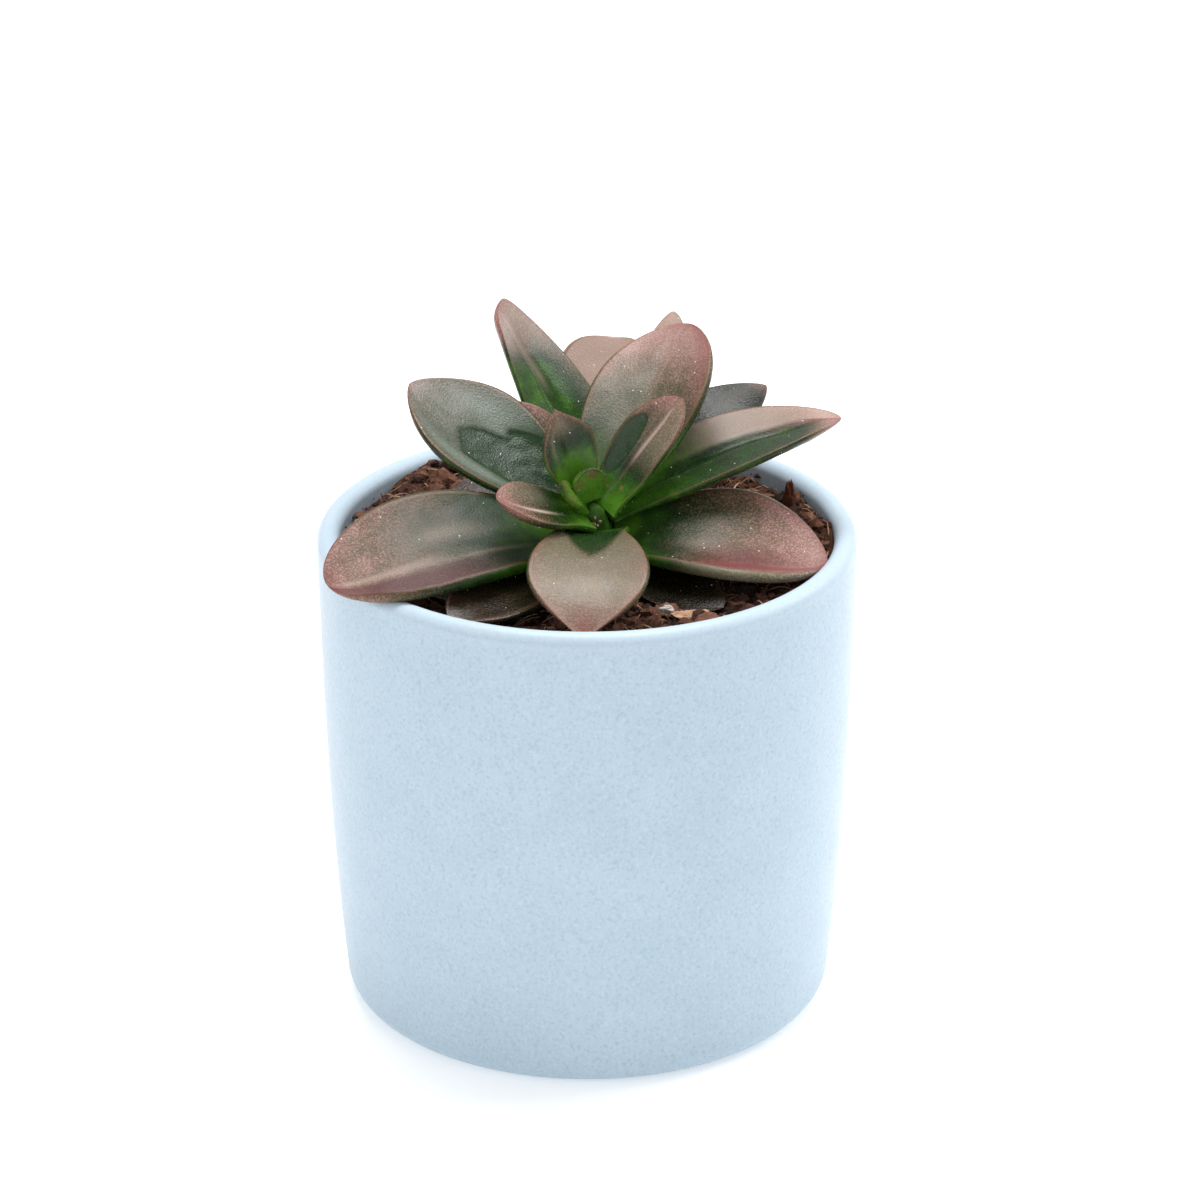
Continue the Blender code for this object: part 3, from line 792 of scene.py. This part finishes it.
def make_pot(finish):
    """The pot's outside, its lip and its inner wall down into the soil, turned from one outline."""
    lip = POT_WALL / 2
    foot_radius = pot_outside(FOOT_ROUND) - FOOT_ROUND
    hollow = 0.35 * MM
    # From the middle of the underside, which is a little hollow, round the foot and up.
    profile = [(0.0, hollow), (foot_radius - 4 * MM, hollow), (foot_radius - 3.6 * MM, 0.0)]
    for a in np.linspace(0, math.pi / 2, 13):
        profile.append((foot_radius + FOOT_ROUND * math.sin(a), FOOT_ROUND * (1 - math.cos(a))))
    lip_height = POT_HEIGHT - lip
    profile += [(pot_outside(z), z) for z in np.linspace(FOOT_ROUND, lip_height, 44)[1:-1]]
    centre = pot_outside(lip_height) - lip
    for a in np.linspace(0, math.pi, 25):
        profile.append((centre + lip * math.cos(a), lip_height + lip * math.sin(a)))
    for z in np.linspace(lip_height, SOIL_LEVEL - WALL_UNDER_SOIL, 14)[1:]:
        profile.append((pot_outside(z) - POT_WALL, z))
    points, thin_glaze_and_highlight = [], []
    for r, z in profile:
        for k in range(POT_SEGMENTS):
            turn = math.tau * k / POT_SEGMENTS
            # A hand-finished wall is never quite round.
            wobble = 1 + 0.0012 * noise.noise(Vector((math.cos(turn), math.sin(turn), z * 18)))
            points.append((r * wobble * math.cos(turn), r * wobble * math.sin(turn), z))
            # Paler glaze over the lip, thinner there and painted as a highlight.
            thin_glaze_and_highlight.append(float(step(z, lip_height - 1.0 * MM, POT_HEIGHT)) * 0.55)
    faces = grid_faces(len(profile), POT_SEGMENTS)
    made = mesh_object("pot_glazed", points, faces, finish, {"thin_glaze_and_highlight": thin_glaze_and_highlight})
    finish_piece(made, "glaze", "pot")


# ---- soil ------------------------------------------------------------------------------------
# Mounds on the soil: place about the pot's axis, reach and height, in units.
MOUNDS = (
    (27.0, 3.0, 8.0, 2.6),
    (-19.0, 21.0, 9.0, 3.0),
    (-27.0, -3.0, 6.0, 0.6),
    (5.0, 26.0, 7.0, 0.8),
)


def soil_top(x, y):
    """The height of the soil, before its crumbs."""
    share = min(1.0, math.hypot(x, y) / POT_RADIUS)
    lump = noise.noise(Vector((x, y, 0)) / (6.0 * UNIT))
    height = SOIL_LEVEL + 2.2 * UNIT * share**4 + 0.72 * UNIT * lump
    for mx, my, reach, rise in MOUNDS:
        away = math.hypot(x / UNIT - mx, y / UNIT - my) / reach
        height += rise * UNIT * math.exp(-away * away)
    return height


def soil_skin(x, y):
    """The soil with its roughness."""
    rough = noise.fractal(Vector((x, y, 3 * MM)) / (1.7 * MM), 0.9, 2.1, 5)
    return soil_top(x, y) + 0.42 * MM * rough


def make_soil(finish):
    """The soil's bed, a disc with a rough top that goes a little way down the pot."""
    rings, segments = 110, 300
    wall = pot_outside(SOIL_LEVEL) - POT_WALL - 0.02 * MM
    points = []
    for i in range(1, rings + 1):
        for k in range(segments):
            turn = math.tau * k / segments
            r = wall * (i / rings)
            x, y = r * math.cos(turn), r * math.sin(turn)
            points.append((x, y, soil_skin(x, y)))
    for k in range(segments):
        x, y, _ = points[(rings - 1) * segments + k]
        points.append((x, y, SOIL_LEVEL - BED_DEPTH))
    faces = grid_faces(rings + 1, segments)
    faces.append(tuple(range(segments))[::-1])
    faces.append(tuple(range(rings * segments, (rings + 1) * segments)))
    tone = [0.35 + 0.25 * noise.noise(Vector(p) / (3 * MM)) for p in points]
    made = mesh_object("soil_bed", points, faces, finish, {"tone": tone})
    finish_piece(made, "peat", "soil")


def clod(seed, detail, rough):
    """A unit clod: points and faces."""
    bm = bmesh.new()
    bmesh.ops.create_icosphere(bm, subdivisions=detail, radius=1.0)
    shift = Vector((seed * 7.3, seed * 1.9, 0))
    lumps = [1 + rough * noise.fractal(v.co * 1.6 + shift, 1.0, 2.0, 3) for v in bm.verts]
    points = np.array([v.co * lump for v, lump in zip(bm.verts, lumps)])
    faces = [tuple(v.index for v in f.verts) for f in bm.faces]
    bm.free()
    return points, faces


class Heap:
    """Many small shapes gathered into one mesh, each with a tone of its own."""

    def __init__(self):
        self.points, self.faces, self.tones = [], [], []

    def add(self, points, faces, tone):
        first = len(self.points)
        self.points.extend(map(tuple, points))
        self.faces.extend(tuple(first + i for i in f) for f in faces)
        self.tones.extend([tone] * len(points))

    def build(self, name, finish, slot, smooth=True):
        made = mesh_object(name, self.points, self.faces, finish, {"tone": self.tones}, smooth)
        finish_piece(made, slot)


def tube(path, radius, sides=6):
    """Points and faces of a thin tube that tapers towards both ends."""
    points = []
    for i, p in enumerate(path):
        ahead = path[min(i + 1, len(path) - 1)] - path[max(i - 1, 0)]
        side = ahead.cross(Vector((0.3, 0.2, 1.0))).normalized()
        lift = side.cross(ahead).normalized()
        share = i / (len(path) - 1)
        r = radius * (1 - 0.75 * abs(2 * share - 1) ** 3)
        for k in range(sides):
            turn = math.tau * k / sides
            points.append(p + side * r * math.cos(turn) + lift * r * math.sin(turn))
    faces = grid_faces(len(path), sides)
    faces.append(tuple(range(sides))[::-1])
    faces.append(tuple(range((len(path) - 1) * sides, len(path) * sides)))
    return points, faces


def soil_spot(rng, reach):
    """A random place on the soil, as (x, y)."""
    r = reach * math.sqrt(rng.random())
    turn = rng.uniform(0, math.tau)
    return r * math.cos(turn), r * math.sin(turn)


def room_over(leaves, x, y, z):
    """How far it is from a place up to a leaf, up to 20 mm."""
    hit = leaves.ray_cast(Vector((x, y, z - 1 * MM)), Vector((0, 0, 1)), 20 * MM)
    return hit[3] - 1 * MM if hit[0] else 20 * MM


def make_crumbs(leaves, finish):
    """Crumbs over the soil, except where a leaf is too close above for one."""
    rng = random.Random(11)
    shapes = [clod(i, 2, 0.60) for i in range(12)]
    heap = Heap()
    reach = pot_outside(SOIL_LEVEL) - POT_WALL
    for _ in range(CRUMB_COUNT):
        size = 0.30 * MM * math.exp(rng.gauss(0.25, 0.62))
        size = min(size, 1.5 * MM)
        x, y = soil_spot(rng, reach - size * 0.9)
        z = soil_top(x, y)
        spin = Matrix.Rotation(rng.uniform(0, math.tau), 3, "Z")
        turn = spin @ Matrix.Rotation(rng.uniform(0, 3), 3, "X")
        stretch = (rng.uniform(0.8, 1.5), rng.uniform(0.7, 1.1), rng.uniform(0.5, 0.9))
        stretch = np.array(stretch) * size
        points, faces = rng.choice(shapes)
        tone = rng.uniform(0.0, 0.75)
        if room_over(leaves, x, y, z) < size * 1.2:
            continue
        placed = (points * stretch) @ np.array(turn).T + (x, y, z + size * 0.25)
        heap.add(placed, faces, tone)
    heap.build("soil_crumbs", finish, "peat", smooth=False)


def make_fibres(leaves, finish):
    """Thin curved fibres lying on the soil, where there is room for them."""
    rng = random.Random(5)
    heap = Heap()
    reach = pot_outside(SOIL_LEVEL) - POT_WALL - 0.6 * MM
    for _ in range(FIBRE_COUNT):
        x, y = soil_spot(rng, reach)
        length = rng.uniform(1.5, 6.5) * MM
        heading = rng.uniform(0, math.tau)
        bend = rng.uniform(-1.6, 1.6)
        arch = rng.uniform(0.1, 0.9) * MM
        path = []
        for i in range(9):
            share = i / 8
            angle = heading + bend * share
            x += math.cos(angle) * length / 9
            y += math.sin(angle) * length / 9
            away = math.hypot(x, y)
            if away > reach:
                x, y = x * reach / away, y * reach / away
            path.append(Vector((x, y, soil_top(x, y) + 0.35 * MM + arch * math.sin(math.pi * share))))
        tone = rng.uniform(0.2, 1.0)
        radius = rng.uniform(0.035, 0.11) * MM
        if min(room_over(leaves, *p) for p in path) < 0.3 * MM:
            continue
        heap.add(*tube(path, radius), tone)
    heap.build("soil_fibres", finish, "peat")


def make_chip(node, slot, finish, seed, tone, flat=False, spike=False):
    """A chip of bark or grit in the place and size of its solid, with split faces and grain."""
    low, high = (np.array(c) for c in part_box(node))
    middle, half = (low + high) / 2, (high - low) / 2
    bm = bmesh.new()
    bmesh.ops.create_icosphere(bm, subdivisions=5, radius=1.0)
    shift = Vector((seed * 4.7, seed * 2.3, 0.5))
    points = []
    for v in bm.verts:
        p = v.co.copy()
        grain = noise.noise(Vector((p.x * 1.5, p.y * 9, p.z * 9)) + shift)
        lump = noise.fractal(p * 1.3 + shift, 1.0, 2.0, 4)
        chipped = noise.cell(p * 2.2 + shift) - 0.5
        p *= 1 + 0.26 * lump + 0.07 * grain + 0.10 * chipped
        if spike:
            p.x *= 1 - 0.62 * (p.z + 1) / 2
            p.y *= 1 - 0.62 * (p.z + 1) / 2
        if flat:
            p.z = p.z * 0.6 + 0.35 * p.x * p.x + 0.2 * lump
        points.append(middle + half * np.array(p))
    faces = [tuple(v.index for v in f.verts) for f in bm.faces]
    bm.free()
    tones = [tone + 0.25 * noise.noise(Vector(p) / (0.9 * MM)) for p in points]
    made = mesh_object("detailed_" + node, points, faces, finish, {"tone": tones})
    finish_piece(made, slot, node)


def on_wall(turn_degrees, under_rim):
    """A place on the inner wall of the pot, and the direction out of it."""
    turn = math.radians(turn_degrees)
    z = POT_HEIGHT - under_rim
    inside = pot_outside(z) - POT_WALL
    out = Vector((-math.cos(turn), -math.sin(turn), 0))
    return Vector((inside * math.cos(turn), inside * math.sin(turn), z)), out


# Soil stuck to the inner wall: the middle of each patch and its spread round the pot, in degrees, and how
# many bits are tried.
DIRT_PATCHES = ((158, 9, 70), (30, 10, 60), (55, 10, 70), (8, 5, 25), (200, 40, 30), (100, 90, 60))
# Root hairs on that wall: degrees round the pot, units under the rim, length in mm, and slope in radians.
WALL_HAIRS = ((33, 2.4, 3.2, 1.2), (12, 2.8, 3.6, 0.9), (150, 3.4, 2.2, 2.0))


def make_wall_dirt(finish):
    """Soil stuck to the inner wall above the bed, thick in a few places, and stray root hairs."""
    rng = random.Random(23)
    heap = Heap()
    shapes = [clod(i + 20, 1, 0.4) for i in range(6)]
    for centre, spread, count in DIRT_PATCHES:
        for _ in range(count):
            depth = (5.6 - abs(rng.gauss(0, 2.0))) * UNIT
            if depth < 1.6 * UNIT:
                continue
            foot, out = on_wall(rng.gauss(centre, spread), depth)
            size = min(0.5, rng.lognormvariate(-1.9, 0.5)) * MM
            points, faces = rng.choice(shapes)
            heap.add(points * size + np.array(foot + out * size * 0.3), faces, rng.uniform(0.0, 0.5))
    for turn, under, length, heading in WALL_HAIRS:
        foot, out = on_wall(turn, under * UNIT)
        along = Vector((-out.y, out.x, 0)) * math.cos(heading) + Vector((0, 0, 1)) * math.sin(heading)
        reach = length * MM
        path = []
        for k in range(9):
            stand = out * 0.5 * MM * (1 + 0.5 * math.sin(k))
            path.append(foot + along * reach * (k / 8 - 0.5) + stand)
        heap.add(*tube(path, 0.07 * MM), 0.1)
    heap.build("wall_dirt", finish, "peat")


def make_crown_dust(finish):
    """Dry tan bits caught where the front leaf meets the crown."""
    rng = random.Random(8)
    heap = Heap()
    drop = 3.0 * UNIT
    for k in range(6):
        turn = math.radians(rng.uniform(265, 320))
        radial = LEAN @ np.array((math.cos(turn), math.sin(turn), 0.0))
        depth = drop - rng.uniform(0.0, 1.4) * UNIT
        foot = CROWN - STEM_AXIS * depth + radial * (stem_radius(depth) + 0.1 * MM)
        points, faces = clod(40 + k, 1, 0.5)
        size = rng.uniform(0.12, 0.32) * MM
        heap.add(points * (size, size * 0.6, size * 1.3) + foot, faces, rng.uniform(0.2, 0.9))
    heap.build("crown_dust", finish, "pale_bark")


# ---- stage -----------------------------------------------------------------------------------
CAMERA_PITCH = math.radians(23.85)
CAMERA_AWAY = 700 * MM
CAMERA_AIM = Vector((1.67, 0, 54.64)) * MM
LENS_MM = 161.4
SENSOR_MM = 36.0
FLOOR_RADIUS = 3.0
FLOOR_SIDES = 64
FLOOR_GLOW = 0.34
SKY_STRENGTH = 0.60
LIGHT_AIM = Vector((0, 0, 0.07))
# Each light's name, its place and size in metres, and its watts.
LIGHTS = (
    ("overhead", (0.05, 0.25, 1.1), (0.7, 0.5), 11.0),
    ("right", (0.9, 0.35, 0.75), (0.5, 0.5), 4.0),
    ("front_left", (-0.7, -0.8, 0.7), (0.4, 0.4), 1.5),
)


def make_camera():
    data = bpy.data.cameras.new("camera")
    data.lens = LENS_MM
    data.sensor_width = SENSOR_MM
    data.clip_start = 0.01
    made = bpy.data.objects.new("camera", data)
    back = Vector((0, -math.cos(CAMERA_PITCH), math.sin(CAMERA_PITCH)))
    made.location = CAMERA_AIM + back * CAMERA_AWAY
    made.rotation_euler = (math.pi / 2 - CAMERA_PITCH, 0, 0)
    bpy.context.scene.collection.objects.link(made)
    bpy.context.scene.camera = made


def make_light(name, where, size, watts):
    """A soft white light that faces the plant."""
    data = bpy.data.lights.new(name, "AREA")
    data.shape = "RECTANGLE"
    data.size, data.size_y = size
    data.energy = watts
    made = bpy.data.objects.new(name, data)
    made.location = where
    aim = LIGHT_AIM - Vector(where)
    made.rotation_euler = aim.to_track_quat("-Z", "Y").to_euler()
    bpy.context.scene.collection.objects.link(made)


def make_stage():
    """The floor, the even light of the sky and the three lights."""
    points = [(0, 0, 0)]
    for k in range(FLOOR_SIDES):
        turn = math.tau * k / FLOOR_SIDES
        points.append((FLOOR_RADIUS * math.cos(turn), FLOOR_RADIUS * math.sin(turn), 0))
    faces = [(0, 1 + k, 1 + (k + 1) % FLOOR_SIDES) for k in range(FLOOR_SIDES)]
    floor = mesh_object("floor", points, faces, floor_material())
    world = bpy.data.worlds.new("studio")
    world.use_nodes = True
    sky = world.node_tree.nodes["Background"]
    sky.inputs["Color"].default_value = (1.0, 1.0, 1.0, 1.0)
    sky.inputs["Strength"].default_value = SKY_STRENGTH
    bpy.context.scene.world = world
    for light in LIGHTS:
        make_light(*light)
    bpy.context.scene.view_settings.view_transform = "Standard"


def tree_over(pieces):
    """One search tree over the faces of several pieces."""
    merged = bmesh.new()
    for piece in pieces:
        merged.from_mesh(piece.data)
    tree = BVHTree.FromBMesh(merged)
    merged.free()
    return tree


def main():
    make_stage()
    make_camera()
    make_pot(glaze_material())
    skin = leaf_material()
    leaves = [make_leaf(leaf, skin) for leaf in LEAVES]
    make_stem(skin)
    peat = earth_material("peat", (0.016, 0.007, 0.005), (0.100, 0.042, 0.027), (0.36, 0.17, 0.10))
    fibre = earth_material("fibre", (0.08, 0.032, 0.016), (0.26, 0.12, 0.06), (0.58, 0.38, 0.23))
    bark = earth_material("bark", (0.030, 0.010, 0.006), (0.15, 0.050, 0.024), (0.42, 0.20, 0.11))
    pale_bark = earth_material("pale_bark", (0.14, 0.07, 0.04), (0.50, 0.30, 0.19), (0.78, 0.60, 0.45))
    grit = earth_material("grit", (0.25, 0.22, 0.20), (0.55, 0.50, 0.45), (0.85, 0.82, 0.78))
    make_soil(peat)
    make_chip("chip_flake", "pale_bark", pale_bark, 1, 0.5, flat=True)
    make_chip("chip_spike", "bark", bark, 2, 0.35, spike=True)
    make_chip("chip_left", "bark", bark, 3, 0.55)
    make_chip("chip_right", "bark", bark, 4, 0.30)
    make_chip("chip_back", "bark", bark, 5, 0.35)
    make_chip("grit", "grit", grit, 6, 0.6)
    make_wall_dirt(peat)
    make_crown_dust(pale_bark)
    over = tree_over(leaves)
    make_crumbs(over, peat)
    make_fibres(over, fibre)


main()
